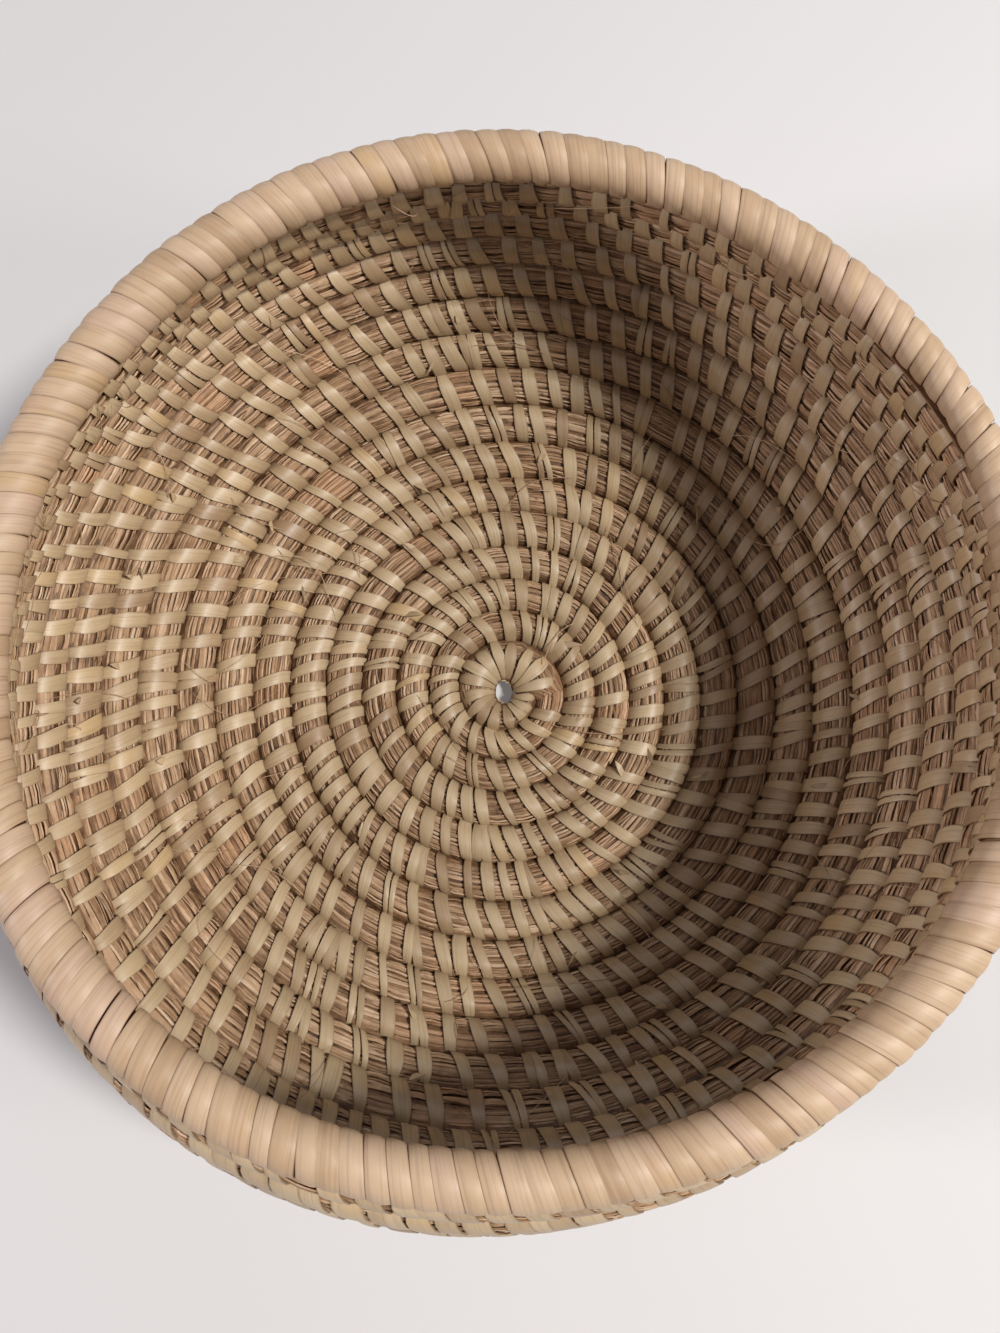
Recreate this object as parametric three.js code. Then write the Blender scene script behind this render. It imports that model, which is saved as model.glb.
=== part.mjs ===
// A coiled grass bowl. One bundle of grass winds clockwise from an eye in the middle of
// the base, out and up the wall. Flat leaf strips bind every round, and a ring of grass
// wrapped all over in broad strips closes the mouth as its rim.
// Millimetres, +Z up, the origin on the floor under the middle of the base.

import * as THREE from "three";

// Profile that the middle of the bundle follows
const baseRadius = 47.5; // flat middle of the base
const wallRadius = 44.5; // arc that turns the base up into the wall
const wallSweep = 110; // degrees from the flat base to the incurved top
const profileLength = 144; // from the axis, along the profile, to the underside of the rim

// Bundle of grass
const eyeRadius = 1.7; // hole that the first turn closes round
const firstRadius = 10.9; // middle of the first full round, where it leaves the knot
const firstPitch = 6.5; // from round to round at the start, where the bundle is thin
const fullPitch = 9; // from round to round once the bundle has filled out
const fillingRounds = 2.5; // how slowly the bundle fills out
const bundleHeight = 6.6; // through the wall of the bowl
const bundleFlat = 0.6; // share of a bundle's width that its flat top and bottom keep
const leastBundle = 1.6; // width at which the tapered end stops under the rim
const baseRounds = 5; // rounds of the base, which are one length of bundle
const seamGap = 0.3; // where a new length of grass is fed in, at the start of each wall round

// Leaf strips that bind the rounds
const stripWidth = 4.5;
const stripThickness = 0.5;
const stripCover = 0.55; // largest share of a stitch's room that its strip takes
const stitchLean = 2.2; // how far a stitch runs along its round on the inside of the bowl
const leanShare = 0.25; // most of a stitch's room that the lean may take
const stitchMargin = 0.4; // room, in stitches, that is kept at the ends of a round
const clearance = 0.3; // between a strip and the bundle inside it
const rowGap = 0.4; // between the strips of neighbouring rounds

// Rim
const rimBundleRadius = 3.6;
const rimStrips = 8; // one after another round the mouth
const rimTurns = 8; // turns that each of them makes round the rim
const rimTurnGap = 0.45; // between neighbouring turns

// Facets: a wall round has a stitch at every step, and a base round at every second one
const stepsPerRound = 20;
const wallStitches = stepsPerRound;
const baseStitches = stepsPerRound / 2;
const rimSteps = rimStrips * rimTurns;
const rimSides = 6;

const straw = { color: 0x94714d, roughness: 0.85, metalness: 0 };
const leaf = { color: 0xc4ab80, roughness: 0.6, metalness: 0 };
const rimLeaf = { color: 0xdcc595, roughness: 0.5, metalness: 0 };

const turn = 2 * Math.PI;
const sweep = THREE.MathUtils.degToRad(wallSweep);
const bundleInset = stripThickness + clearance;
const bendRise = (stripWidth / 2) * Math.sin(turn / stepsPerRound); // of a strip over a facet's edge
const spaceHeight = bundleHeight / 2 + bundleInset;
const rimSpace = rimBundleRadius + bundleInset;
const rimMiddle = profileLength + rowGap / 2 + rimSpace;
const slack = 1e-6;

// Angle between the profile and the floor, at a distance along it from the axis
function slope(along) {
  return THREE.MathUtils.clamp((along - baseRadius) / wallRadius, 0, sweep);
}

// Point at a distance along the profile, raised from it towards the inside of the bowl
function place(rounds, along, raised) {
  const angle = -turn * rounds;
  const lean = slope(along);
  const flat = Math.min(along, baseRadius);
  const straight = Math.max(0, along - baseRadius - wallRadius * sweep);
  const radius = flat + wallRadius * Math.sin(lean) + straight * Math.cos(lean) - raised * Math.sin(lean);
  const rise = wallRadius * (1 - Math.cos(lean)) + straight * Math.sin(lean) + raised * Math.cos(lean);
  return new THREE.Vector3(radius * Math.cos(angle), radius * Math.sin(angle), spaceHeight + rise);
}

// Distance along the profile to the middle of the bundle after a number of rounds
function reach(rounds) {
  const lag = (fullPitch - firstPitch) * fillingRounds;
  return firstRadius + fullPitch * rounds - lag * (1 - Math.exp(-rounds / fillingRounds));
}

// Room of one round along the profile: the knot, row -1, reaches in to the eye
function innerEdge(rounds, row) {
  return row < 0 ? eyeRadius : reach(rounds - 0.5);
}

function outerEdge(rounds) {
  return Math.min(reach(rounds + 0.5), profileLength);
}

// Corner of a round's section. side and face run from -1 to 1 across its room, out from the
// eye and in towards the bowl; inset is the depth below the outside of the strips.
function sectionPoint(rounds, row, side, face, inset) {
  const inner = innerEdge(rounds, row);
  const outer = outerEdge(rounds);
  const half = (outer - inner - rowGap) / 2 - inset;
  return place(rounds, (inner + outer) / 2 + side * half, face * (spaceHeight - inset));
}

// Share of a round that a length takes along the coil at a point
function shareOfRound(length, point) {
  return length / (turn * Math.hypot(point.x, point.y));
}

// The same corner anywhere along the round, on the straight facets between its steps
function facetPoint(rounds, row, side, face, inset) {
  const step = Math.floor(rounds * stepsPerRound + slack);
  const before = sectionPoint(step / stepsPerRound, row, side, face, inset);
  const after = sectionPoint((step + 1) / stepsPerRound, row, side, face, inset);
  return before.lerp(after, rounds * stepsPerRound - step);
}

// One closed body through rings of points, capped at its ends unless it closes on itself
function bodyThrough(rings, closed = false) {
  const sides = rings[0].length;
  const corner = (ring, side) => (ring % rings.length) * sides + (side % sides);
  const faces = [];
  const spans = closed ? rings.length : rings.length - 1;
  for (let ring = 0; ring < spans; ring++) {
    for (let side = 0; side < sides; side++) {
      faces.push(corner(ring, side), corner(ring, side + 1), corner(ring + 1, side + 1));
      faces.push(corner(ring, side), corner(ring + 1, side + 1), corner(ring + 1, side));
    }
  }
  for (let side = 1; side < sides - 1 && !closed; side++) {
    faces.push(corner(0, 0), corner(0, side + 1), corner(0, side));
    faces.push(corner(spans, 0), corner(spans, side), corner(spans, side + 1));
  }
  const geometry = new THREE.BufferGeometry().setFromPoints(rings.flat());
  geometry.setIndex(faces);
  geometry.computeVertexNormals();
  return geometry;
}

// Least distance between the points of rings that aren't close neighbours along a tube
function leastGap(rings, apart) {
  let least = Infinity;
  for (let first = 0; first < rings.length; first++) {
    for (let second = first + apart; second < rings.length; second++) {
      for (const from of rings[first]) {
        for (const to of rings[second]) {
          least = Math.min(least, from.distanceTo(to));
        }
      }
    }
  }
  return least;
}

const bowl = new THREE.Group();

function addPiece(name, geometry, finish) {
  const mesh = new THREE.Mesh(geometry, new THREE.MeshStandardMaterial(finish));
  mesh.name = name;
  bowl.add(mesh);
}

function addTube(name, rings, finish, apart) {
  addPiece(name, bodyThrough(rings), finish);
  console.log(`${name}: least gap to itself ${leastGap(rings, apart).toFixed(2)} mm`);
}

// Grass bundle: a flat-topped tube, one length from the knot to the end of the base and then
// a new length for each round up to the rim, where it tapers out
const bundleCorners = [
  [1, 0],
  [bundleFlat, 1],
  [-bundleFlat, 1],
  [-1, 0],
  [-bundleFlat, -1],
  [bundleFlat, -1],
];

function bundleRing(rounds) {
  const row = rounds < -slack ? -1 : 0;
  return bundleCorners.map(([side, face]) => facetPoint(rounds, row, side, face, bundleInset));
}

function bundleRings(firstStep, lastStep) {
  const rings = [];
  for (let step = firstStep; step <= lastStep; step++) {
    rings.push(bundleRing(step / stepsPerRound));
  }
  return rings;
}

function bundleWidth(rounds) {
  return outerEdge(rounds) - innerEdge(rounds, 0) - rowGap - 2 * bundleInset;
}

let lastStep = baseRounds * stepsPerRound;
while (bundleWidth((lastStep + 1) / stepsPerRound) >= leastBundle) {
  lastStep++;
}

const lastRound = lastStep / stepsPerRound;
const twoDigits = (number) => String(number).padStart(2, "0");

const knotStep = 1 - stepsPerRound;
const baseRings = bundleRings(knotStep, baseRounds * stepsPerRound);
addTube("grass_bundle_base", baseRings, straw, stepsPerRound / 2);

for (let row = baseRounds; row < lastRound; row++) {
  const start = row + shareOfRound(seamGap, place(row, reach(row), 0));
  const firstStep = row * stepsPerRound + 1;
  const rings = [bundleRing(start), ...bundleRings(firstStep, Math.min(firstStep - 1 + stepsPerRound, lastStep))];
  addTube("grass_round_" + twoDigits(row + 1), rings, straw, stepsPerRound / 2);
}

// Binding strips: one for each round, wound round its bundle, and staggered row by row
function stripRing(rounds, row, side, face, rise, stitches) {
  const middle = facetPoint(rounds, row, side, face, 0);
  const half = Math.min(shareOfRound(stripWidth, middle), stripCover / stitches) / 2;
  return [
    facetPoint(rounds - half, row, side, face, stripThickness - rise),
    facetPoint(rounds + half, row, side, face, stripThickness - rise),
    facetPoint(rounds + half, row, side, face, -rise),
    facetPoint(rounds - half, row, side, face, -rise),
  ];
}

// Over the inside of the bowl, down between the rounds and back across the outside, where the
// strip bows out over any edge between two facets of the bundle
function stitchPath(at, stitches, lean) {
  const from = at + lean;
  const to = at + 1 / stitches - lean;
  const path = [
    [at - lean / 2, 1, 1, 0],
    [at + lean / 2, -1, 1, 0],
    [from, -1, -1, 0],
  ];
  const firstBend = Math.floor(from * stepsPerRound + slack) + 1;
  for (let step = firstBend; step < to * stepsPerRound - slack; step++) {
    const rounds = step / stepsPerRound;
    const side = -1 + (2 * (rounds - from)) / (to - from);
    const rise = bendRise * Math.sin(slope(reach(rounds))); // none on the flat base
    if (rise > 0) {
      path.push([rounds, side, -1, rise]);
    }
  }
  path.push([to, 1, -1, 0]);
  return path;
}

function bindingRings(row, end) {
  const stitches = row < baseRounds ? baseStitches : wallStitches;
  const stagger = row % 2 ? 0.5 : 0;
  const middle = place(row, (innerEdge(row, row) + outerEdge(row)) / 2, 0);
  const lean = Math.min(shareOfRound(stitchLean, middle), leanShare / stitches);
  const margin = stitchMargin / stitches;
  const path = [];
  for (let stitch = 0; stitch < stitches; stitch++) {
    const at = row + (stitch + stagger) / stitches;
    if (at > row + margin && at < end - margin) {
      path.push(...stitchPath(at, stitches, lean));
    }
  }
  const tail = path.findLastIndex(([, side, face]) => side === -1 && face === -1);
  const stitched = path.slice(0, tail + 1);
  return stitched.map(([at, side, face, rise]) => stripRing(at, row, side, face, rise, stitches));
}

const stripPointsApart = 3;
addTube("knot_strip", bindingRings(-1, -1 / stepsPerRound), leaf, stripPointsApart);
for (let row = 0; row < lastRound; row++) {
  const rings = bindingRings(row, Math.min(row + 1, lastRound));
  addTube("binding_strip_" + twoDigits(row + 1), rings, leaf, stripPointsApart);
}

// Rim: a ring of grass, and the broad strips wound round it side by side
function rimSection(rounds, corner, inset) {
  const angle = (turn * corner) / rimSides;
  const radius = rimSpace - inset;
  return place(rounds, rimMiddle + radius * Math.cos(angle), radius * Math.sin(angle));
}

function rimPoint(rounds, corner, inset) {
  const step = Math.floor(rounds * rimSteps + slack);
  const before = rimSection(step / rimSteps, corner, inset);
  const after = rimSection((step + 1) / rimSteps, corner, inset);
  return before.lerp(after, rounds * rimSteps - step);
}

const rimRings = [];
for (let step = 0; step < rimSteps; step++) {
  const corners = [...Array(rimSides).keys()];
  rimRings.push(corners.map((corner) => rimSection(step / rimSteps, corner, bundleInset)));
}
addPiece("grass_bundle_rim", bodyThrough(rimRings, true), straw);

const rimAdvance = 1 / (rimStrips * rimTurns);
const mouthRadius = rimSection(0, rimSides / 3, 0).x;
const rimHalf = (rimAdvance - rimTurnGap / (turn * mouthRadius)) / 2;

function rimStripRing(rounds, corner) {
  return [
    rimPoint(rounds - rimHalf, corner, stripThickness),
    rimPoint(rounds + rimHalf, corner, stripThickness),
    rimPoint(rounds + rimHalf, corner, 0),
    rimPoint(rounds - rimHalf, corner, 0),
  ];
}

for (let strip = 0; strip < rimStrips; strip++) {
  const rings = [];
  for (let corner = 0; corner < rimTurns * rimSides; corner++) {
    rings.push(rimStripRing(strip / rimStrips + (corner / rimSides) * rimAdvance, corner));
  }
  addTube("rim_strip_" + (strip + 1), rings, rimLeaf, stripPointsApart);
}

export default bowl;
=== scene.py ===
import math

import bpy
import numpy as np
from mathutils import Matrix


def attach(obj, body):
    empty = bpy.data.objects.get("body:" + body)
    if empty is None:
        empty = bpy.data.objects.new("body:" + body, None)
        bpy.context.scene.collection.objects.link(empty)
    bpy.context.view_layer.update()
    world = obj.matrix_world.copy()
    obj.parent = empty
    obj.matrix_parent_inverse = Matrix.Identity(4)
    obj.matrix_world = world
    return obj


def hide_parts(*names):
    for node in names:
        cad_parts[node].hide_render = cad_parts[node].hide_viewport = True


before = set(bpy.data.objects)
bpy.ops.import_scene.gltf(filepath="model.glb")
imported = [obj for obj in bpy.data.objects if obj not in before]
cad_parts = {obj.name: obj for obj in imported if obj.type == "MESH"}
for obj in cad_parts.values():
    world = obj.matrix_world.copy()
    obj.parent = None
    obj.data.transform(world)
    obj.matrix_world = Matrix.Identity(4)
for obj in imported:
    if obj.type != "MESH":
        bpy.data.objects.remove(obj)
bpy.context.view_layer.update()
scene = bpy.context.scene
turn = 2 * math.pi
metre = 0.001  # pieces are laid out in millimetres
sharpAngle = math.radians(50)  # edges under this are shaded smooth

# The bowl's profile and coil, in millimetres, with what makes this bowl less than true
bowl = {
    "baseRadius": 47.5,
    "wallRadius": 44.5,
    "wallSweep": math.radians(110),
    "profileLength": 144.0,  # from the axis to the underside of the rim
    "eye": (2.0, 3.0),  # half its width and half its length
    "firstRadius": 10.9,
    "firstPitch": 6.5,
    "fullPitch": 9.0,
    "fillingRounds": 2.5,
    "baseRounds": 5,
    "firstRound": -0.96,  # where the knot round the eye starts
    "lastRound": 15.97,  # where the coil has tapered out under the rim
    "knotRadius": 4.0,
    "knotThins": (0.5, 4.0),  # share of the height that is left at the eye, and over what width
    "endThins": (0.35, 3.5),  # least share of the height at the coil's end, and how soon it is full
    "middleHeight": 4.1,
    "rimRise": 74.4,
    # lobes round the bowl, with the cosine's and the sine's share at the rim, none at the base
    "outOfRound": ((0, 0.011, 0), (2, 0.0093, -0.0021), (3, 0.0047, -0.0076)),
    # swell on one side, degrees round, how far to each side, from and over what rise
    "belly": (0.06, 247.0, 58.0, 22.0, 52.0),
}


def degreesFrom(middle, degrees):
    # how far round from the middle, the short way
    return (degrees - middle + 180) % 360 - 180


def place(rounds, along, raised):
    # a point after some rounds of the coil, along the profile, raised towards the inside
    lean = np.clip((along - bowl["baseRadius"]) / bowl["wallRadius"], 0, bowl["wallSweep"])
    straight = np.maximum(0, along - bowl["baseRadius"] - bowl["wallRadius"] * bowl["wallSweep"])
    radius = np.minimum(along, bowl["baseRadius"]) + bowl["wallRadius"] * np.sin(lean)
    radius = radius + straight * np.cos(lean) - raised * np.sin(lean)
    rise = bowl["wallRadius"] * (1 - np.cos(lean)) + straight * np.sin(lean) + raised * np.cos(lean)
    angle = -turn * rounds
    for lobes, cosine, sine in bowl["outOfRound"]:
        swell = cosine * np.cos(lobes * angle) + sine * np.sin(lobes * angle)
        radius = radius * (1 + swell * np.clip(rise / bowl["rimRise"], 0, 1))
    swell, middle, spread, foot, height = bowl["belly"]
    away = degreesFrom(middle, np.degrees(angle))
    bulge = np.sin(math.pi * np.clip((rise - foot) / height, 0, 1))
    radius = radius * (1 + swell * np.exp(-((away / spread) ** 2)) * bulge)
    return np.stack([radius * np.cos(angle), radius * np.sin(angle), bowl["middleHeight"] + rise], -1)


def radiusAt(rounds, along):
    point = place(np.asarray(rounds, float), np.asarray(along, float), 0.0)
    return np.hypot(point[..., 0], point[..., 1])


def reach(rounds):
    # how far along the profile the coil is; its pitch grows over the first rounds
    lag = (bowl["fullPitch"] - bowl["firstPitch"]) * bowl["fillingRounds"]
    filled = 1 - np.exp(-rounds / bowl["fillingRounds"])
    return bowl["firstRadius"] + bowl["fullPitch"] * rounds - lag * filled


def edges(rounds):
    # both edges of a round along the profile; the knot reaches in to the eye
    wide, long = bowl["eye"]
    eye = 1 / np.hypot(np.cos(turn * rounds) / wide, np.sin(turn * rounds) / long)
    inner = np.where(rounds < 0, eye, reach(rounds - 0.5))
    return inner, np.minimum(reach(rounds + 0.5), bowl["profileLength"])


def sectionAt(rounds):
    # the middle of a round along the profile, and half its width
    inner, outer = edges(rounds)
    return (inner + outer) / 2, (outer - inner) / 2


# How long the coil is after some rounds, from the start of the knot
stepsPerRound = 40
tableEnd = math.ceil(bowl["lastRound"]) + 1
coilRounds = np.linspace(-1, tableEnd, (tableEnd + 1) * stepsPerRound + 1)
coilReach = np.clip(reach(coilRounds), bowl["knotRadius"], bowl["profileLength"])
coilLengths = np.cumsum(turn * radiusAt(coilRounds, coilReach)) * (coilRounds[1] - coilRounds[0])


def lengthAt(rounds):
    return np.interp(rounds, coilRounds, coilLengths)


def lowered(rounds, along):
    # the knot thins out towards the eye
    inner, _ = edges(rounds)
    least, over = bowl["knotThins"]
    share = np.clip(least + (1 - least) * (along - inner) / over, 0, 1)
    return np.where(rounds < 0, share, 1.0)


def fullness(half):
    # the coil's end grows flat as it narrows
    least, over = bowl["endThins"]
    return np.minimum(1, least + half / over)


def wander(along, step, draw):
    # a slow random drift, seldom past 1 either way
    pace = (0.7, 1.6)
    most = 1.6
    total = np.zeros(len(along))
    for wave in (1, 2, 3):
        total += np.sin(along / step * wave * draw.uniform(*pace) + draw.uniform(0, turn)) / wave
    return total / most


def rounded(angle, power):
    # a section between an ellipse and a box: shares of its half width and half height
    across = np.sign(np.cos(angle)) * np.abs(np.cos(angle)) ** power
    up = np.sign(np.sin(angle)) * np.abs(np.sin(angle)) ** power
    return across, up


# Each tube has a cell of its own on the map that the finish is baked to
cell = {
    "margin": 0.05,
    "endWidth": 0.03,
    "endMargin": 0.005,
}


class Mould:
    # gathers closed tubes into one mesh, with what the finishes read and a map for each tube

    def __init__(self):
        self.points, self.faces, self.grain, self.tone, self.maps = [], [], [], [], []
        self.total = 0

    def tube(self, rings, grain, tone):
        count, sides, _ = rings.shape
        index = self.total + np.arange(count * sides).reshape(count, sides)
        after = np.roll(index, -1, 1)
        quads = np.stack([index[:-1], after[:-1], after[1:], index[1:]], -1).reshape(-1, 4)
        self.faces += quads.tolist() + [index[0][::-1].tolist(), index[-1].tolist()]
        self.points.append(rings.reshape(-1, 3))
        self.grain.append(grain.reshape(-1, 3))
        self.tone.append(np.full(count * sides, tone))
        self.maps.append(self.unrolled(count, sides))
        self.total += count * sides

    def unrolled(self, count, sides):
        # the tube's faces as a sheet, with its two ends beside it
        room = 1 - 2 * cell["margin"]
        ring, side = np.meshgrid(np.arange(count - 1), np.arange(sides), indexing="ij")
        us = np.stack([ring, ring, ring + 1, ring + 1], -1) / (count - 1)
        vs = np.stack([side, side + 1, side + 1, side], -1) / sides
        sheet = np.stack([us, vs], -1).reshape(-1, 2) * room + cell["margin"]
        angles = np.arange(sides) * turn / sides
        end = (0.5 + 0.5 * np.stack([np.cos(angles), np.sin(angles)], -1)) * (cell["endWidth"], room)
        first = end + (cell["endMargin"], cell["margin"])
        last = end + (1 - cell["endWidth"] - cell["endMargin"], cell["margin"])
        return np.concatenate([sheet, first, last])


def makePiece(name, mould, finish, nodes, columns):
    mesh = bpy.data.meshes.new(name)
    mesh.from_pydata((np.concatenate(mould.points) * metre).tolist(), [], mould.faces)
    grain = mesh.attributes.new("grain", "FLOAT_VECTOR", "POINT")
    grain.data.foreach_set("vector", np.concatenate(mould.grain).ravel().astype(np.float32))
    tone = mesh.attributes.new("tone", "FLOAT", "POINT")
    tone.data.foreach_set("value", np.concatenate(mould.tone).astype(np.float32))
    rows = math.ceil(len(mould.maps) / columns)
    cells = []
    for number, unrolled in enumerate(mould.maps):
        cells.append((unrolled + (number % columns, number // columns)) / (columns, rows))
    bakeMap = mesh.uv_layers.new(name="OFBake")
    bakeMap.data.foreach_set("uv", np.concatenate(cells).ravel().astype(np.float32))
    mesh.polygons.foreach_set("use_smooth", np.ones(len(mesh.polygons), bool))
    mesh.set_sharp_from_angle(angle=sharpAngle)
    mesh.materials.append(finish)
    piece = bpy.data.objects.new(name, mesh)
    scene.collection.objects.link(piece)
    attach(piece, "root")
    if nodes:
        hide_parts(*nodes)


# Finishes


class Wire:
    # a socket of a material, on which sums are written as sums

    def __init__(self, tree, made=None, output=0):
        self.tree = tree
        self.made = made
        self.socket = made.outputs[output] if made else None

    def node(self, kind, settings, values, output=0):
        made = self.tree.nodes.new("ShaderNode" + kind)
        for name, value in settings.items():
            if name == "stops":
                ramp = made.color_ramp
                while len(ramp.elements) < len(value):
                    ramp.elements.new(1.0)
                for element, (position, colour) in zip(ramp.elements, value):
                    element.position = position
                    element.color = (*colour, 1)
            else:
                setattr(made, name, value)
        for name, value in values.items():
            if isinstance(value, Wire):
                self.tree.links.new(value.socket, made.inputs[name])
            else:
                made.inputs[name].default_value = value
        return Wire(self.tree, made, output)

    def pick(self, output):
        return Wire(self.tree, self.made, output)

    def into(self, shader, name):
        self.tree.links.new(self.socket, shader.inputs[name])

    def sum(self, operation, first, second, clamp=False):
        return self.node("Math", {"operation": operation, "use_clamp": clamp}, {0: first, 1: second})

    def __add__(self, other):
        return self.sum("ADD", self, other)

    __radd__ = __add__

    def __sub__(self, other):
        return self.sum("SUBTRACT", self, other)

    def __rsub__(self, other):
        return self.sum("SUBTRACT", other, self)

    def __mul__(self, other):
        return self.sum("MULTIPLY", self, other)

    __rmul__ = __mul__

    def __pow__(self, other):
        return self.sum("POWER", self, other)

    def held(self):
        return self.sum("ADD", self, 0.0, clamp=True)

    def mixed(self, first, second):
        values = {0: self, 6: first, 7: second}  # the factor and the two colours
        return self.node("Mix", {"data_type": "RGBA"}, values, 2)

    def eased(self, near, far, start, end):
        # from one value to another, softly, as this goes from near to far
        values = {"Value": self, "From Min": near, "From Max": far, "To Min": start, "To Max": end}
        return self.node("MapRange", {"interpolation_type": "SMOOTHSTEP"}, values)


def tint(red, green, blue):
    # a colour as it looks on screen, 0 to 255, turned into light by the screen's own curve
    shares = (np.array([red, green, blue]) / 255.0 + 0.055) / 1.055
    return tuple(float(share) ** 2.4 for share in shares)


def startFinish(name):
    finish = bpy.data.materials.new(name)
    finish.use_nodes = True
    tree = finish.node_tree
    shader = tree.nodes["Principled BSDF"]
    wire = Wire(tree)
    grain = wire.node("Attribute", {"attribute_name": "grain"}, {}, "Vector")
    along = wire.node("SeparateXYZ", {}, {"Vector": grain}, "X")
    tone = wire.node("Attribute", {"attribute_name": "tone"}, {}, "Fac")
    return finish, shader, along, along.pick("Y"), along.pick("Z"), tone


def noise(along, across, own, detail):
    vector = along.node("CombineXYZ", {}, {"X": along, "Y": across, "Z": own})
    values = {"Vector": vector, "Scale": 1.0, "Detail": detail, "Roughness": 0.6}
    return along.node("TexNoise", {}, values, "Fac")


def connect(shader, colour, roughness, height, strength, distance):
    values = {"Height": height, "Strength": strength, "Distance": distance}
    normal = height.node("Bump", {}, values, "Normal")
    colour.into(shader, "Base Color")
    roughness.into(shader, "Roughness")
    normal.into(shader, "Normal")


noiseMiddle = 0.5

grassLook = {
    "stops": (
        (0.0, tint(66, 41, 21)),
        (0.2, tint(115, 83, 55)),
        (0.42, tint(152, 119, 88)),
        (0.62, tint(175, 142, 110)),
        (0.8, tint(192, 160, 130)),
        (1.0, tint(210, 182, 152)),
    ),
    "streaks": 0.45,  # how much a stem changes along its length
    "streakNoise": (0.05, 57.0, 3.0),  # how fine along a stem, how far apart two stems are, and detail
    "flecks": 0.8,
    "fleckNoise": (0.38, 31.0, 2.0),
    "patches": 0.55,  # how much one gap between two stitches differs from the next
    "patchNoise": (0.17, 0.3, 1.0),  # how fine along and across, and detail
    "warm": tint(200, 146, 106),  # here and there a stretch of the bundle is fresher
    "freshNoise": (0.03, 1.0),
    "fresh": (0.53, 4.0, 0.85),  # from what level of its noise, how sharply and how much
    "roughness": (0.5, 0.25),
    "bump": (0.25, 0.0002),
}

# What the sewing strips and the rim's strips have in common
leafGrain = {
    "fibreNoise": (0.04, 61.0, 4.0),  # how fine along a strip, how far apart two strips are, and detail
    "darkFibres": (0.52, 1.4),  # below what level of their noise, and how dark
    "cloudNoise": (0.16, 1.2, 43.0, 2.0),  # how fine along and across, how far apart, and detail
    "clouds": 0.5,  # how much a strip changes over its face
    "relief": (0.7, 0.5),  # of fibres and of clouds
    "bump": (0.4, 0.0002),
}

stripLook = {
    "stops": (
        (0.0, tint(156, 129, 100)),
        (0.25, tint(174, 149, 118)),
        (0.5, tint(185, 162, 130)),
        (0.75, tint(195, 172, 140)),
        (1.0, tint(190, 162, 122)),
    ),
    # painted shade along the strips' edges, and also the colour of their own dark fibres
    "edgeShadeAndFibreColour": tint(104, 77, 49),
    "fibres": 9.0,  # lines across a strip
    "edge": (7.0, 0.7),  # how narrow the painted shade along its edges is, and how dark
    "roughness": (0.3, 0.22),
}

rimLook = {
    "stops": (
        (0.0, tint(167, 138, 109)),
        (0.3, tint(182, 154, 124)),
        (0.55, tint(192, 165, 137)),
        (0.8, tint(189, 160, 137)),
        (1.0, tint(186, 156, 120)),
    ),
    # painted shade along the edges of the wraps, where the seams between them are, and also the colour of
    # their own dark fibres
    "edgeShadeAndFibreColour": tint(106, 72, 46),
    "fibres": 8.0,
    # how narrow the painted shade along its edges is, and how dark
    "edge": (9.0, 1.0),
    "roughness": (0.42, 0.2),
}


def grassFinish(name, look):
    finish, shader, along, across, own, tone = startFinish(name)
    fine, apart, detail = look["streakNoise"]
    streak = noise(along * fine, across, own * apart, detail)
    fine, apart, detail = look["fleckNoise"]
    fleck = noise(along * fine, across, own * apart, detail)
    fine, detail = look["freshNoise"]
    stretch = noise(along * fine, 0.0, 0.0, detail)
    fine, sideways, detail = look["patchNoise"]
    patch = noise(along * fine, across * sideways, 0.0, detail)
    change = (streak - noiseMiddle) * look["streaks"] + (fleck - noiseMiddle) * look["flecks"]
    change = change + (patch - noiseMiddle) * look["patches"]
    level = (tone + change).held()
    plain = level.node("ValToRGB", {"stops": look["stops"]}, {"Fac": level}, "Color")
    start, sharp, most = look["fresh"]
    fresh = ((stretch - start) * sharp).held() * level * most
    colour = fresh.mixed(plain, (*look["warm"], 1))
    base, extra = look["roughness"]
    connect(shader, colour, base + streak * extra, fleck, *look["bump"])
    return finish


def stripFinish(name, look):
    finish, shader, along, across, own, tone = startFinish(name)
    fine, apart, detail = leafGrain["fibreNoise"]
    fibre = noise(along * fine, across * look["fibres"], own * apart, detail)
    fine, sideways, apart, detail = leafGrain["cloudNoise"]
    cloud = noise(along * fine, across * sideways, own * apart, detail)
    level = (tone + (cloud - noiseMiddle) * leafGrain["clouds"]).held()
    plain = level.node("ValToRGB", {"stops": look["stops"]}, {"Fac": level}, "Color")
    narrow, darkest = look["edge"]
    edge = (across * across * 4.0) ** narrow  # painted shade, darkest along both edges of a strip: across is a half at either side, so this is 1 there
    below, most = leafGrain["darkFibres"]
    # painted shade at the edges, added to the strip's own dark fibres
    edgeShadeAndFibres = (edge * darkest + (below - fibre) * most).held()
    colour = edgeShadeAndFibres.mixed(plain, (*look["edgeShadeAndFibreColour"], 1))
    base, extra = look["roughness"]
    ofFibres, ofClouds = leafGrain["relief"]
    relief = fibre * ofFibres + cloud * ofClouds
    connect(shader, colour, base + fibre * extra, relief, *leafGrain["bump"])
    return finish


grassCoat = grassFinish("dryGrass", grassLook)
stripCoat = stripFinish("leafStrip", stripLook)
rimCoat = stripFinish("paleRimStrip", rimLook)
print("finishes ready")

# Where the stitches go: each sits between two stitches of the round before, and a wide gap takes two

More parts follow.
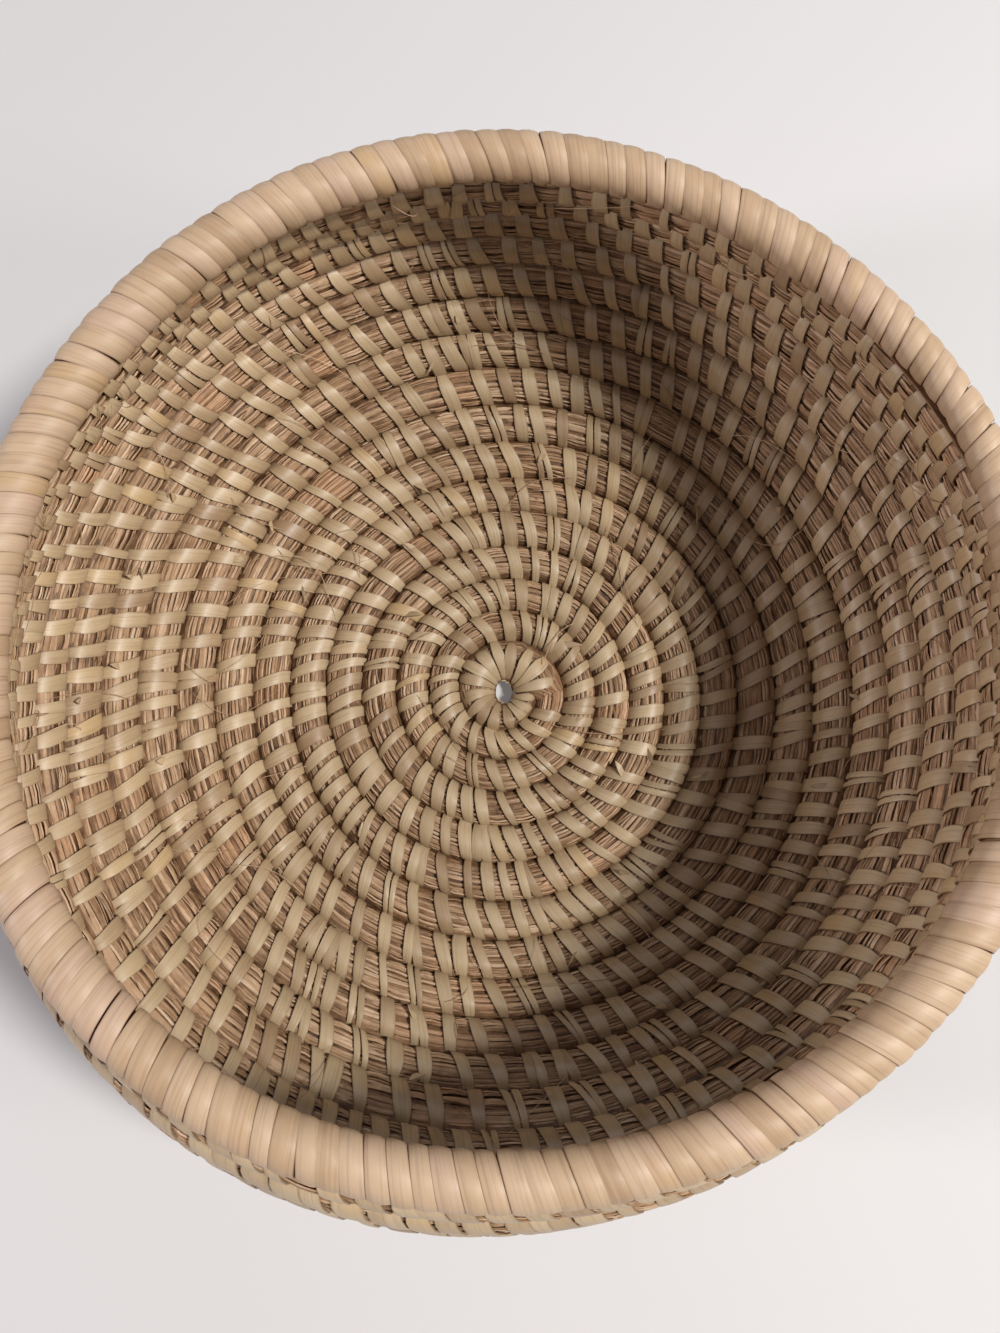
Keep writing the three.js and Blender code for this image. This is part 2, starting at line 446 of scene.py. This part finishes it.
stitch = {
    "width": 3.4,
    "widthUneven": (0.84, 1.14),
    "firstWidth": 0.74,  # share of the width that is left in the first round
    "thickness": 0.26,
    "crown": 0.07,
    "height": 4.0,
    "lift": 0.12,  # a strip may lie this much higher
    "backHeight": 3.88,
    "backWidth": 1.3,  # a strip spreads out on the outside of the bowl
    "sideRoom": 0.14,
    "power": 0.84,  # how square its way round the bundle is
    "waist": (0.16, 4),  # by what share it narrows in the grooves, and how suddenly
    "tip": (0.72, 1.0),  # share of its width that is left where it dives
    "tipStart": (0.2, 1.5),  # from where across the bundle it narrows to that, and how suddenly
    "grooveWidth": 0.85,  # share of the tip that is left in the groove
    "edgeWander": (0.07, 2.0),
    "pierce": (0.1, 1.3),  # how far it starts in the round before
    "pierceStart": (0.7, 2),  # from where across the bundle, and how suddenly
    "lean": (2.6, 3.0, 1.4),  # at the eye, on the wall and under the rim
    "leanGrows": 2.5,  # over how many rounds
    "leanDrops": (10, 4),  # from which round, and over how many
    "leanUneven": (0.6, 1.4),
    "backLean": 0.55,  # share of the spacing
    "backStart": 0.7,  # share of the lean that is made good before the way back
    "spacing": (3.6, 6.0, 3.5),  # in the first round, on the wall, and how many rounds lie between
    "countUneven": 0.25,
    "spotUneven": 0.1,
    "endRoom": 0.12,  # of a round, at the coil's end
    "twist": 0.1,
    "tone": (0.5, 0.22),
}

petal = {
    "count": 16,
    "rounds": (-0.95, 0.93),  # where the first one is, and over how much of the knot they go
    "uneven": 0.2,
    "shown": (0.86, 1.06),  # how much of the knot a petal crosses before it dives into the grass
    "tip": (0.5, 0.95),
    "lean": (0.4, 2.2),
    "width": (0.75, 1.2),  # share of a stitch's width
    "room": 0.94,  # share of its part of the knot that it may take
    "pivot": 5.0,  # nearer to the eye than this it leans no further
}


def spacingAt(rounds):
    first, full, filling = stitch["spacing"]
    return full - (full - first) * np.exp(-np.maximum(rounds, 0) / filling)


def leanAt(rounds):
    first, full, last = stitch["lean"]
    lean = full + (first - full) * np.exp(-np.maximum(rounds, 0) / stitch["leanGrows"])
    start, over = stitch["leanDrops"]
    return lean + (last - lean) * np.clip((rounds - start) / over, 0, 1)


def sewnPlaces(draw):
    begin, over = petal["rounds"]
    places = []
    for number in range(petal["count"]):
        off = draw.uniform(-petal["uneven"], petal["uneven"])
        places.append(begin + over * (number + off) / (petal["count"] - 1))
    below = 0
    while below + 1 < len(places):
        first, second = places[below] + 1, places[below + 1] + 1
        below += 1
        if first > bowl["lastRound"] - stitch["endRoom"]:
            break
        gap = (second - first) * turn * float(radiusAt(first, reach(first)))
        off = draw.uniform(-stitch["countUneven"], stitch["countUneven"])
        count = max(0, round(gap / float(spacingAt(first)) + off))
        for number in range(count):
            off = draw.uniform(-stitch["spotUneven"], stitch["spotUneven"])
            spot = (number + 0.5 + off) / count
            places.append(first + (second - first) * spot)
    return places


sewn = np.sort(sewnPlaces(np.random.default_rng(23)))

# Grass: thin stems along the coil, over a heart that closes the gaps between them, coloured dark as painted
# shade in those gaps

grass = {
    "slots": 18,  # stems side by side on each face of the bundle
    "firstAngle": 12.0,  # degrees from the groove to the first stem
    "height": 3.3,
    "sideRoom": 0.5,
    "leastHalf": 0.4,
    "power": 0.86,
    "squeeze": (0.95, 0.12),  # under a stitch, and what it swells by between two
    "puff": 2.3,  # how near a stitch it is squeezed
    "overrun": 14.0,  # a stem may end this far past its round
    "endRun": 0.03,  # and this much of a round past the coil's end
    "spanSteps": 20,  # places at which a round is measured
}

stem = {
    "length": (16.0, 85.0),
    "lap": 3.0,  # the next one starts this much before its end
    "width": (0.24, 0.46),
    "depth": (0.13, 0.24),
    "step": 1.9,
    "leastSteps": 4,
    "ends": (0.25, 0.5),  # share of its size at its ends, and what each step adds
    "fullHalf": 4.0,  # it is narrower where the bundle has less than this half width
    "turnWander": (0.11, 20.0),  # round the bundle: how far, and how slowly
    "turnUneven": 0.07,
    "riseWander": (0.03, 9.0),
    "riseUneven": (-0.07, 0.04),
    "tones": (0.34, 0.48, 0.64, 0.83),
    "toneShares": (0.2, 0.32, 0.31, 0.17),
    "toneUneven": 0.07,
    "darkest": 0.05,
}

# Now and then a stem lies askew on the others
stray = {
    "every": 13.0,
    "length": (7.0, 22.0),
    "steps": 10,
    "angle": (0.5, 2.6),
    "turn": 0.4,
    "rise": (1.04, 0.05),  # over the other stems, and what it bows by
    "size": 0.16,
}

heart = {
    "height": 2.9,
    "sides": 16,
    "step": 6.0,
    "leastSteps": 24,
    "firstRound": -0.955,
    "lap": 0.002,  # of a round, into the next piece
    "sideLap": 0.1,
    # painted shade: darker than the stems, for the shade in the gaps between them
    "tone": 0.2,
}


def puffed(rounds, across, front):
    # 0 under a stitch, 1 in the open between two
    circle = turn * radiusAt(rounds, reach(rounds))
    lean = leanAt(rounds)
    behind = lean * stitch["backStart"] + stitch["backLean"] * spacingAt(rounds) * (1 - across) / 2
    moved = rounds + np.where(front, lean * across / 2, behind) / circle
    after = np.clip(np.searchsorted(sewn, moved), 1, len(sewn) - 1)
    away = np.minimum(np.abs(moved - sewn[after - 1]), np.abs(sewn[after] - moved)) * circle
    return 1 - np.exp(-((away / grass["puff"]) ** 2))


def layStem(mould, rounds, angle, swell, wide, deep, draw):
    # a flat stem with four sides, at an angle round the bundle
    middle, half = sectionAt(rounds)
    height = grass["height"] * fullness(half)
    half = np.maximum(half - grass["sideRoom"], grass["leastHalf"])
    across, up = rounded(angle, grass["power"])
    nearby = 0.02
    ahead = rounded(angle + nearby, grass["power"])
    before = rounded(angle - nearby, grass["power"])
    sideways = np.stack([half * (ahead[0] - before[0]), height * (ahead[1] - before[1])], -1)
    sideways /= np.linalg.norm(sideways, axis=-1, keepdims=True)
    out = np.stack([sideways[:, 1], -sideways[:, 0]], -1)
    under, between = grass["squeeze"]
    swell = swell * (under + between * puffed(rounds, across, up > 0))
    spot = np.stack([middle + half * swell * across, height * swell * up], -1)
    spot[:, 1] *= lowered(rounds, spot[:, 0])
    least, more = stem["ends"]
    steps = np.arange(len(rounds))
    ends = np.minimum(1, least + np.minimum(steps, steps[::-1]) * more)
    wide = wide * ends * np.minimum(1, half / stem["fullHalf"])
    toSide = sideways * wide[:, None]
    toFace = out * (deep * ends)[:, None]
    corners = np.stack([spot + toFace, spot + toSide, spot - toFace, spot - toSide], 1)
    rings = place(np.repeat(rounds[:, None], 4, 1), corners[..., 0], corners[..., 1])
    tone = draw.choice(stem["tones"], p=stem["toneShares"]) + draw.normal(0, stem["toneUneven"])
    length = np.repeat(lengthAt(rounds)[:, None], 4, 1)
    sides = np.tile([0.0, 0.5, 1.0, 0.5], (len(rounds), 1))
    grain = np.stack([length, sides, np.full(length.shape, draw.uniform())], -1)
    mould.tube(rings, grain, float(np.clip(tone, stem["darkest"], 1)))


def layRow(mould, first, last, span, face, slot, draw):
    # stems one after another along one line of the bundle
    share = slot / (grass["slots"] - 1)
    room = math.radians(90 - grass["firstAngle"])
    base = math.pi / 2 + room * (1 - 2 * share)
    start = max(first - draw.uniform(0, grass["overrun"]) / span, bowl["firstRound"])
    limit = min(last + draw.uniform(0, grass["overrun"]) / span, bowl["lastRound"] + grass["endRun"])
    end = start
    while end < limit:
        end = min(start + draw.uniform(*stem["length"]) / span, limit)
        count = max(stem["leastSteps"], math.ceil((end - start) * span / stem["step"]))
        rounds = np.linspace(start, end, count)
        run = (rounds - start) * span
        far, slow = stem["turnWander"]
        angle = base + far * wander(run, slow, draw) + draw.uniform(-stem["turnUneven"], stem["turnUneven"])
        far, slow = stem["riseWander"]
        swell = 1 + far * wander(run, slow, draw) + draw.uniform(*stem["riseUneven"])
        wide = draw.uniform(*stem["width"])
        deep = draw.uniform(*stem["depth"])
        layStem(mould, rounds, face * angle, swell, wide, deep, draw)
        start = end - stem["lap"] / span


def layStray(mould, first, last, span, face, draw):
    middle = draw.uniform(first, last)
    half = draw.uniform(*stray["length"]) / span / 2
    rounds = np.linspace(middle - half, middle + half, stray["steps"])
    rounds = np.clip(rounds, bowl["firstRound"], bowl["lastRound"])
    angle = draw.uniform(*stray["angle"])
    angle = angle + draw.uniform(-stray["turn"], stray["turn"]) * np.linspace(-1, 1, stray["steps"])
    rise, bow = stray["rise"]
    swell = rise + bow * np.sin(np.linspace(0, math.pi, stray["steps"]))
    if rounds[0] < rounds[1] and rounds[-2] < rounds[-1]:
        layStem(mould, rounds, face * angle, swell, stray["size"], stray["size"], draw)


def layHeart(mould, first, last, span):
    count = max(heart["leastSteps"], math.ceil((last - first) * span / heart["step"]))
    start = max(first - heart["lap"], heart["firstRound"])
    rounds = np.linspace(start, min(last + heart["lap"], bowl["lastRound"]), count)
    middle, half = sectionAt(rounds)
    sides = heart["sides"]
    angles = np.arange(sides) * turn / sides
    along = middle[:, None] + (half[:, None] + heart["sideLap"]) * np.cos(angles)
    rounds = np.repeat(rounds[:, None], sides, 1)
    raised = heart["height"] * fullness(half)[:, None] * np.sin(angles) * lowered(rounds, along)
    grain = np.stack([lengthAt(rounds), np.tile(np.arange(float(sides)), (count, 1)), along * 0], -1)
    mould.tube(place(rounds, along, raised), grain, heart["tone"])


def layRound(mould, first, last, draw):
    rounds = np.linspace(first, last, grass["spanSteps"])
    span = float(np.mean(radiusAt(rounds, reach(rounds)))) * turn
    for face in (1, -1):
        for slot in range(grass["slots"]):
            layRow(mould, first, last, span, face, slot, draw)
        for number in range(round((last - first) * span / stray["every"])):
            layStray(mould, first, last, span, face, draw)
    layHeart(mould, first, last, span)


draw = np.random.default_rng(7)
baseGrass = Mould()
for row in range(-1, bowl["baseRounds"]):
    layRound(baseGrass, max(row, bowl["firstRound"]), row + 1, draw)
makePiece("grassBase", baseGrass, grassCoat, ["grass_bundle_base"], 2)
for row in range(bowl["baseRounds"], math.ceil(bowl["lastRound"])):
    roundGrass = Mould()
    layRound(roundGrass, row, min(row + 1, bowl["lastRound"]), draw)
    makePiece(f"grassRound{row + 1:02d}", roundGrass, grassCoat, [f"grass_round_{row + 1:02d}"], 1)
print("grass laid")

# Stitches: a flat leaf strip comes up beside the round before, crosses the bundle and goes back outside

ribbonShares = np.array([-0.5, -0.38, -0.14, 0.14, 0.38, 0.5, 0.5, -0.5])  # across it, and back underneath
ribbonFace = 6  # so many of them are on its upper face
ribbonGrain = 400.0  # each strip takes its grain from another stretch of this
# over the bundle, from groove to groove
frontAngles = np.radians([180, 166, 150, 130, 108, 86, 64, 44, 26, 9])

oddStitch = {
    "firstRound": 0.5,  # none before this
    "split": 0.08,  # so many are split in two
    "splitWidth": 0.46,
    "splitApart": 0.27,
    "splitTurn": (-0.3, 0.9),
    "doubled": 0.08,  # so many have a second strip on them
    "doubledWidth": (0.8, 0.7),
    "doubledApart": (-0.22, 0.3),
    "doubledTurn": (0.5, 2.0),
    "narrow": 0.1,  # of the others, so many are narrow
    "narrowWidth": 0.66,
}


def layRibbon(mould, rounds, along, raised, width, twist, look, draw):
    # a flat strip along a path, its upper face crowned
    stepAlong, stepRaised = np.gradient(along), np.gradient(raised)
    size = np.maximum(np.hypot(stepAlong, stepRaised), 1e-6)
    normal = np.stack([-stepRaised / size, stepAlong / size], -1)
    depth = look["crown"] * (1 - 4 * ribbonShares**2)
    depth[ribbonFace:] = -look["thickness"]
    depth = depth + twist * ribbonShares
    across = width[:, None] * ribbonShares
    places = rounds[:, None] + across / (turn * radiusAt(rounds, along)[:, None])
    rings = place(places, along[:, None] + normal[:, :1] * depth, raised[:, None] + normal[:, 1:] * depth)
    middle = rings[:, 2]
    length = np.concatenate([[0], np.cumsum(np.linalg.norm(np.diff(middle, axis=0), axis=1))])
    shape = (len(rounds), len(ribbonShares))
    own = np.full(shape, draw.uniform())
    length = np.broadcast_to(length[:, None], shape) + draw.uniform(0, ribbonGrain)
    grain = np.stack([length, np.broadcast_to(ribbonShares, shape), own], -1)
    mould.tube(rings, grain, float(np.clip(draw.normal(*look["tone"]), 0, 1)))


def sewStrip(mould, at, width, lean, lift, shift, draw):
    middle, half = (float(size) for size in sectionAt(np.array(at)))
    across, up = rounded(frontAngles, stitch["power"])
    tip = draw.uniform(*(petal["tip"] if at < 0 else stitch["tip"]))
    share, power = stitch["waist"]
    widths = 1 - share * np.abs(across) ** power
    start, power = stitch["tipStart"]
    pointed = widths * (1 - (1 - tip) * np.clip((across - start) / (1 - start), 0, 1) ** power)
    start, power = stitch["pierceStart"]
    pierced = draw.uniform(*stitch["pierce"]) * np.clip((-across - start) / (1 - start), 0, 1) ** power
    if at < 0:  # the petals have no round before them
        pierced = pierced * 0
    backLean = stitch["backLean"] * float(spacingAt(at))
    forward = shift - lean * across / 2
    back = shift - lean * stitch["backStart"] - backLean * (1 - across) / 2
    end = half - stitch["sideRoom"]
    shown = draw.uniform(*petal["shown"]) if at < 0 else 1.0
    along = middle + np.concatenate([((across + 1) * shown - 1) * end - pierced, [end], across[::-1] * end])
    up = up * float(fullness(half))
    raised = np.concatenate([up * (stitch["height"] + lift), [0.0], -up[::-1] * stitch["backHeight"]])
    moved = np.concatenate([forward, [(forward[-1] + back[-1]) / 2], back[::-1]])
    groove = stitch["grooveWidth"] * tip
    widths = np.concatenate([pointed, [groove], widths[::-1] * stitch["backWidth"]]) * width
    far, slow = stitch["edgeWander"]
    widths = widths * (1 + far * wander(np.arange(len(widths)), slow, draw))
    room = turn * radiusAt(at, middle)
    if at < 0:  # the petals narrow and thin out towards the eye
        widths = np.minimum(widths, petal["room"] * turn * along / petal["count"])
        raised = raised * lowered(np.full(len(along), at), along)
        room = turn * np.maximum(along, petal["pivot"])
    twist = draw.normal(0, stitch["twist"])
    layRibbon(mould, at + moved / room, along, raised, widths, twist, stitch, draw)


def sewStitch(mould, at, draw):
    lean = float(leanAt(at)) * draw.uniform(*stitch["leanUneven"])
    if at < 0:
        lean = draw.uniform(*petal["lean"])
    first, full, _ = stitch["spacing"]
    grown = (float(spacingAt(at)) - first) / (full - first)
    share = stitch["firstWidth"] * (1 - grown) + grown
    width = stitch["width"] * draw.uniform(*stitch["widthUneven"]) * share
    if at < 0:
        width = stitch["width"] * draw.uniform(*petal["width"])
    kind = draw.uniform()
    mayBeOdd = at > oddStitch["firstRound"]
    if mayBeOdd and kind < oddStitch["split"]:
        for side in (-1, 1):
            turned = lean + side * draw.uniform(*oddStitch["splitTurn"])
            shift = side * width * oddStitch["splitApart"]
            sewStrip(mould, at, width * oddStitch["splitWidth"], turned, 0.0, shift, draw)
    elif mayBeOdd and kind < oddStitch["split"] + oddStitch["doubled"]:
        lower, upper = oddStitch["doubledWidth"]
        before, after = oddStitch["doubledApart"]
        sewStrip(mould, at, width * lower, lean, 0.0, width * before, draw)
        turned = lean - draw.uniform(*oddStitch["doubledTurn"])
        sewStrip(mould, at, width * upper, turned, stitch["thickness"], width * after, draw)
    else:
        narrow = oddStitch["narrowWidth"] if draw.uniform() < oddStitch["narrow"] else 1.0
        sewStrip(mould, at, width * narrow, lean, draw.uniform(0, stitch["lift"]), 0.0, draw)


draw = np.random.default_rng(29)
rows = {}
for at in sewn:
    rows.setdefault(math.floor(at), []).append(at)
for row, places in rows.items():
    stitches = Mould()
    for at in places:
        sewStitch(stitches, at, draw)
    node = "knot_strip" if row < 0 else f"binding_strip_{row + 1:02d}"
    name = "knotPetals" if row < 0 else f"stitches{row + 1:02d}"
    makePiece(name, stitches, stripCoat, [node], 8)
print("stitches sewn:", {row: len(places) for row, places in rows.items()})

# Rim: a ring of grass wholly wrapped in broad pale strips

rim = {
    "along": 148.6,
    "radius": 4.3,
    # degrees round, spread and share by which it is thinner; the coil's end is tucked in there
    "thin": ((28.0, 14.0, 0.3), (75.0, 45.0, 0.1)),
    "heart": (0.9, 1.2),  # share of the radius, and how far it sinks on the last round
    "heartFaces": (160, 12),  # round the mouth, and round the ring
    "heartGrain": 500.0,
    "heartTone": 0.3,
    "wraps": 150,
    "pieces": 8,
    "wrapTurn": 174.0,  # degrees that a strip goes round the ring each way
    "wrapSteps": 27,
    "overlap": 1.04,
    "widthUneven": (0.92, 1.12),
    "waist": (0.12, 3),  # by what share a strip narrows to its ends, and how suddenly
    "thickness": 0.3,
    "crown": 0.3,
    "shingle": 0.14,  # one edge of a strip stands on the strip before
    "shingleUneven": (0.6, 1.3),
    "lean": 2.9,
    "leanUneven": (0.8, 1.2),
    "dive": (1.3, 148.0, 26.0),  # how deep its ends go into the last round, from and over what angle
    "placeUneven": 0.08,
    "heightUneven": 0.05,
    "tone": (0.5, 0.24),
}
wrapSize = turn * float(radiusAt(0.0, rim["along"])) / rim["wraps"]
wrapAngles = np.radians(np.linspace(rim["wrapTurn"], -rim["wrapTurn"], rim["wrapSteps"]))


def rimRadius(rounds):
    radius = rim["radius"]
    for angle, spread, share in rim["thin"]:
        away = degreesFrom(angle, -360 * rounds)
        radius = radius * (1 - share * np.exp(-((away / spread) ** 2)))
    return radius


def layRimHeart(mould):
    steps, sides = rim["heartFaces"]
    share, sunk = rim["heart"]
    rounds = np.linspace(0, 1, steps + 1)[:, None]
    angles = np.arange(sides) * turn / sides
    radius = rimRadius(rounds) * share
    along = rim["along"] - sunk + radius * np.cos(angles)
    raised = rimRadius(rounds) - rim["radius"] + radius * np.sin(angles)
    rounds = np.repeat(rounds, sides, 1)
    around = np.tile(np.arange(float(sides)), (steps + 1, 1))
    grain = np.stack([rounds * rim["heartGrain"], around, along * 0], -1)
    mould.tube(place(rounds, along, raised), grain, rim["heartTone"])


def layWrap(mould, number, draw):
    at = (number + draw.uniform(-rim["placeUneven"], rim["placeUneven"])) / rim["wraps"]
    full = float(rimRadius(at))
    deepest, start, over = rim["dive"]
    dive = deepest * np.clip((np.abs(wrapAngles) - math.radians(start)) / math.radians(over), 0, 1)
    size = full + dive + draw.normal(0, rim["heightUneven"])
    along = rim["along"] + size * np.cos(wrapAngles)
    raised = full - rim["radius"] + size * np.sin(wrapAngles)
    lean = rim["lean"] * draw.uniform(*rim["leanUneven"])
    moved = lean / 2 * np.sin(np.clip(wrapAngles, -math.pi / 2, math.pi / 2))
    share, power = rim["waist"]
    width = wrapSize * rim["overlap"] * draw.uniform(*rim["widthUneven"])
    width = width * (1 - share * np.abs(wrapAngles / math.pi) ** power)
    rounds = at + moved / (wrapSize * rim["wraps"])
    twist = rim["shingle"] * draw.uniform(*rim["shingleUneven"])
    layRibbon(mould, rounds, along, raised, width, twist, rim, draw)


rimHeart = Mould()
layRimHeart(rimHeart)
makePiece("rimGrass", rimHeart, grassCoat, ["grass_bundle_rim"], 1)

draw = np.random.default_rng(41)
wrapped = 0
for part in range(rim["pieces"]):
    wraps = Mould()
    while wrapped < round((part + 1) * rim["wraps"] / rim["pieces"]):
        layWrap(wraps, wrapped, draw)
        wrapped += 1
    makePiece(f"rimWraps{part + 1}", wraps, rimCoat, [f"rim_strip_{part + 1}"], 4)
print("rim wrapped:", wrapped)

# Loose ends: hairs of grass that have worked out of the bundle, and ends of strips that stand up

hair = {
    "count": 90,
    "lengths": (100, 5600),  # along the coil, where they stand
    "onRim": 16,
    "rimRounds": (14.4, 15.4),
    "length": (6.0, 30.0),
    "steps": 14,
    "radius": (0.05, 0.1),
    "tip": (0.25, 2.0),  # share of the radius at its ends, and how soon it is full
    "bow": 0.16,  # share of the length
    "foot": 3.0,  # how high its ends are
    "rise": (1.4, 3.5),
    "arch": 0.7,  # under 1, it rises soon
    "start": 3.0,  # it starts at least this far under the rim
    "within": (6.0, 2.0),  # from the axis, and past the end of the profile
    "grain": 30.0,
    "tone": (0.6, 1.0),
}

tuft = {
    "count": 34,
    "rounds": (0.6, 11),
    "length": (2.2, 4.6),
    "steps": 7,
    "width": (0.7, 2.0),
    "taper": (1.15, 0.12),  # share of the width at its foot, and the least
    "start": (-0.5, 0.9),  # across the bundle
    "flat": 0.8,  # share of the length that it reaches
    "foot": 3.7,
    "rise": (0.7, 2.2),  # how much it arches, and how far along the arch it goes
    "curl": (-0.2, 0.6),
    "slant": 0.8,
    "thickness": stitch["thickness"],
    "crown": stitch["crown"],
    "twist": 0.3,
    "tone": (0.6, 0.2),
}


def hairPath(at, draw):
    share = np.linspace(0, 1, hair["steps"])
    arch = np.sin(math.pi * share)
    length = draw.uniform(*hair["length"])
    heading = draw.uniform(0, turn)
    bow = draw.normal(0, hair["bow"]) * length * arch
    ahead = length * (share - 0.5)
    start = min(float(reach(at)), bowl["profileLength"] - hair["start"])
    nearest, past = hair["within"]
    along = start + ahead * math.sin(heading) + bow * math.cos(heading)
    along = np.clip(along, nearest, bowl["profileLength"] + past)
    moved = ahead * math.cos(heading) - bow * math.sin(heading)
    rounds = at + moved / (turn * float(radiusAt(at, start)))
    raised = hair["foot"] + draw.uniform(*hair["rise"]) * arch ** hair["arch"]
    return place(rounds, along, raised)


def layHair(mould, path, draw):
    along = np.gradient(path, axis=0)
    along /= np.linalg.norm(along, axis=1, keepdims=True)
    askew = (0.3, 0.2, 1.0)  # a direction that no hair follows
    side = np.cross(along, askew)
    side /= np.linalg.norm(side, axis=1, keepdims=True)
    over = np.cross(along, side)
    angles = (np.arange(4) * turn / 4)[:, None]
    least, soon = hair["tip"]
    thin = np.minimum(1, least + soon * np.sin(np.linspace(0, math.pi, len(path))))
    size = (draw.uniform(*hair["radius"]) * thin)[:, None, None]
    rings = path[:, None] + size * (side[:, None] * np.cos(angles) + over[:, None] * np.sin(angles))
    length = np.repeat(np.linspace(0, hair["grain"], len(path))[:, None], 4, 1)
    grain = np.stack([length, length * 0 + 0.5, np.full(length.shape, draw.uniform())], -1)
    mould.tube(rings, grain, draw.uniform(*hair["tone"]))


def layTuft(mould, at, draw):
    middle, half = (float(size) for size in sectionAt(np.array(at)))
    length = draw.uniform(*tuft["length"])
    run = np.linspace(0, 1, tuft["steps"])
    outward = draw.choice([-1.0, 1.0])
    start = middle + draw.uniform(*tuft["start"]) * half * outward
    along = start + outward * length * tuft["flat"] * run
    rise, arch = tuft["rise"]
    raised = tuft["foot"] + rise * np.sin(run * arch) + draw.uniform(*tuft["curl"]) * run**2
    slant = draw.uniform(-tuft["slant"], tuft["slant"])
    rounds = at + slant * length * run / (turn * float(radiusAt(at, start)))
    foot, least = tuft["taper"]
    width = draw.uniform(*tuft["width"]) * np.clip(foot - run**2, least, 1)
    twist = draw.normal(0, tuft["twist"])
    layRibbon(mould, rounds, along, raised, width, twist, tuft, draw)


draw = np.random.default_rng(59)
hairs = Mould()
for number in range(hair["count"]):
    at = float(np.interp(draw.uniform(*hair["lengths"]), coilLengths, coilRounds))
    layHair(hairs, hairPath(at, draw), draw)
for number in range(hair["onRim"]):
    at = draw.uniform(*hair["rimRounds"])
    layHair(hairs, hairPath(at, draw), draw)
makePiece("looseHairs", hairs, grassCoat, [], 8)

tufts = Mould()
first, last = tuft["rounds"]
frayed = sewn[(sewn > first) & (sewn < last)]
for number in range(tuft["count"]):
    layTuft(tufts, float(draw.choice(frayed)), draw)
makePiece("stripTufts", tufts, stripCoat, [], 8)
print("loose ends:", hair["count"] + hair["onRim"], "hairs,", tuft["count"], "tufts")

# Floor, light and camera, in metres

stage = {
    "floor": (0.635, 0.625, 0.64),
    "floorHalf": 4.0,
    "floorRoughness": 0.9,
    "floorFades": (0.25, 0.75),  # from the middle, so that no edge shows against the backdrop
    "paintedEyeGlow": (0.004, 0.008, 0.1),  # painted light: the floor glows under the eye so that it isn't black there; full to, gone by, and level
    "world": (0.15, 0.8, (0.98, 0.97, 1.03)),  # what it lights with, and how it looks
    "lightsAway": 1.0,
    "lights": {  # degrees round from +X and up, size, power and colour
        "keyLight": (-7.0, 59.3, 0.16, 9.0, (1.0, 0.983, 0.935)),
        "fillLight": (188.0, 26.0, 0.18, 4.2, (1.0, 0.91, 0.9)),
        "kickLight": (-12.0, 33.0, 0.25, 2.4, (1.0, 0.93, 0.87)),
        "skyLight": (100.0, 32.0, 0.4, 0.8, (0.74, 0.88, 1.0)),
    },
    "cameraAt": (-0.0003, -0.0299, 0.2382),
    "cameraTurn": (8.73, 0.14, 0.06),
    "lens": 27.0,
    "sensor": 36.0,
    "nearest": 0.005,  # what the camera still sees
}


def makeFloor():
    half = stage["floorHalf"]
    corners = [(-half, -half, 0), (half, -half, 0), (half, half, 0), (-half, half, 0)]
    mesh = bpy.data.meshes.new("floor")
    mesh.from_pydata(corners, [], [(0, 1, 2, 3)])
    floor = bpy.data.objects.new("floor", mesh)
    scene.collection.objects.link(floor)
    coat = bpy.data.materials.new("paleFloor")
    coat.use_nodes = True
    shader = coat.node_tree.nodes["Principled BSDF"]
    shader.inputs["Base Color"].default_value = (*stage["floor"], 1)
    shader.inputs["Roughness"].default_value = stage["floorRoughness"]
    # the floor glows only where its painted emission colour isn't black, which is under the eye
    shader.inputs["Emission Strength"].default_value = 1.0
    spot = Wire(coat.node_tree).node("TexCoord", {}, {}, "Object")
    distance = spot.node("VectorMath", {"operation": "LENGTH"}, {0: spot}, "Value")
    near, far = stage["floorFades"]
    distance.eased(near, far, 1.0, 0.0).into(shader, "Alpha")
    # painted light: a glow on the floor under the eye, fading with distance from the middle
    near, far, level = stage["paintedEyeGlow"]
    distance.eased(near, far, level, 0.0).into(shader, "Emission Color")
    mesh.materials.append(coat)


def makeWorld():
    world = bpy.data.worlds.new("studio")
    world.use_nodes = True
    strength, seen, colour = stage["world"]
    backdrop = world.node_tree.nodes["Background"]
    backdrop.inputs["Color"].default_value = (*colour, 1)
    ray = Wire(world.node_tree).node("LightPath", {}, {}, "Is Camera Ray")
    shown = (ray + ray.pick("Is Glossy Ray") + ray.pick("Is Transmission Ray")).held()
    (strength + shown * (seen - strength)).into(backdrop, "Strength")
    scene.world = world


def hangLight(name, around, up, size, power, colour):
    lamp = bpy.data.lights.new(name, "AREA")
    lamp.shape = "DISK"
    lamp.size = size
    lamp.energy = power
    lamp.color = colour
    light = bpy.data.objects.new(name, lamp)
    away = stage["lightsAway"]
    around, up = math.radians(around), math.radians(up)
    flat = away * math.cos(up)
    light.location = (flat * math.cos(around), flat * math.sin(around), away * math.sin(up))
    light.rotation_euler = (0, math.pi / 2 - up, around)
    scene.collection.objects.link(light)


def setCamera():
    lens = bpy.data.cameras.new("camera")
    lens.lens = stage["lens"]
    lens.sensor_width = stage["sensor"]
    lens.sensor_fit = "AUTO"
    lens.clip_start = stage["nearest"]
    camera = bpy.data.objects.new("camera", lens)
    camera.location = stage["cameraAt"]
    camera.rotation_euler = tuple(math.radians(angle) for angle in stage["cameraTurn"])
    scene.collection.objects.link(camera)
    scene.camera = camera


makeFloor()
makeWorld()
for name, settings in stage["lights"].items():
    hangLight(name, *settings)
setCamera()
scene.view_settings.view_transform = "Standard"

print("scene ready")
